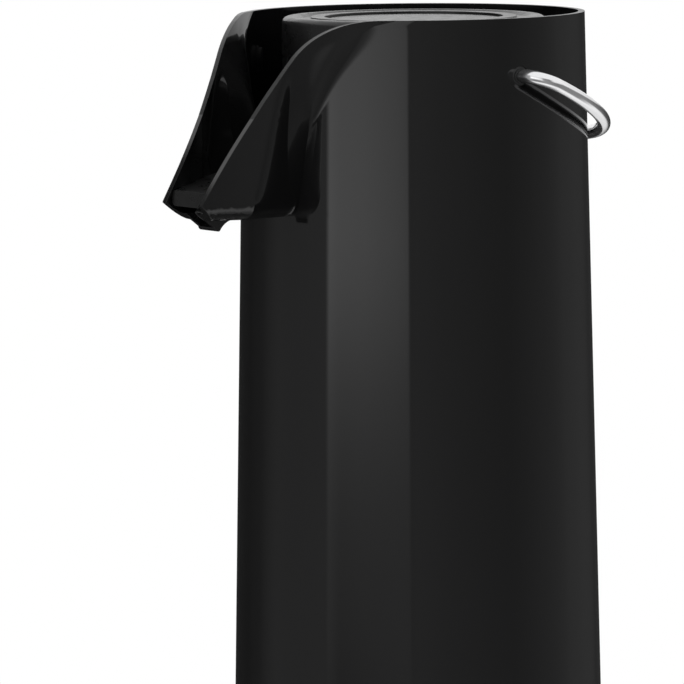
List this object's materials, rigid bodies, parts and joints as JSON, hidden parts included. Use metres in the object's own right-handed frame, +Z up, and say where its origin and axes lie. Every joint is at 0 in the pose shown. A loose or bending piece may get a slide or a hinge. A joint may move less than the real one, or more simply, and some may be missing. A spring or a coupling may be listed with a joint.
{
  "type": "pump thermal carafe",
  "caption": "Tall round pump carafe with a long pointed pouring beak, a lift-out pump head with a sprung push button, a glass vacuum flask inside and a swinging wire bail.",
  "frame": {"origin": "centre of the foot ring's underside, on the body's axis", "axes": "+Z up along the body's axis, -Y towards the pouring beak, X along the bail's pivots"},
  "size_m": [0.1892, 0.213, 0.36],
  "materials": {
    "shell": "polished, moulded black",
    "deck": "satin, moulded black",
    "head": "polished, moulded black",
    "bail": "polished round bar",
    "glass": "clear, silvered inside the gap",
    "inner_plastic": "matt, moulded",
    "rubber": "matt",
    "steel": "drawn wire"
  },
  "bodies": {
    "vessel": {"outer_shell": "shell", "top_deck": "deck", "pour_duct": "inner_plastic", "port_grommet": "rubber", "glass_outer_flask": "glass", "glass_inner_flask": "glass", "liner_pads": "rubber", "neck_gasket": "rubber", "base_cushion": "rubber", "base_cap": "inner_plastic", "foot_ring": "rubber", "bail_bush_left": "inner_plastic", "bail_bush_right": "inner_plastic"},
    "pump_head": {"head_housing": "head", "head_bezel": "head", "head_base": "inner_plastic", "pump_plate": "inner_plastic", "head_screws": "steel", "air_valve": "rubber", "neck_seal": "rubber", "riser_tube": "inner_plastic", "outlet_elbow": "inner_plastic", "bellows": "rubber", "return_spring": "steel"},
    "button": {"push_button": "head", "pressure_plate": "inner_plastic"},
    "bail": {"bail_handle": "bail", "bail_stop_left": "inner_plastic", "bail_stop_right": "inner_plastic"}
  },
  "joints": [
    {"name": "head_lift", "type": "slide", "parent": "vessel", "child": "pump_head", "axis": [0, 0, 1], "range_m": [0, 0.33]},
    {"name": "button_press", "type": "slide", "parent": "pump_head", "child": "button", "axis": [0, 0, -1], "range_m": [0, 0.028], "stiffness_N_per_m": 400, "springref_m": -0.012, "deforming": ["bellows", "return_spring"]},
    {"name": "bail_swing", "type": "hinge", "parent": "vessel", "child": "bail", "pos_m": [0, 0, 0.3345], "axis": [1, 0, 0], "range_deg": [0, 181]}
  ]
}
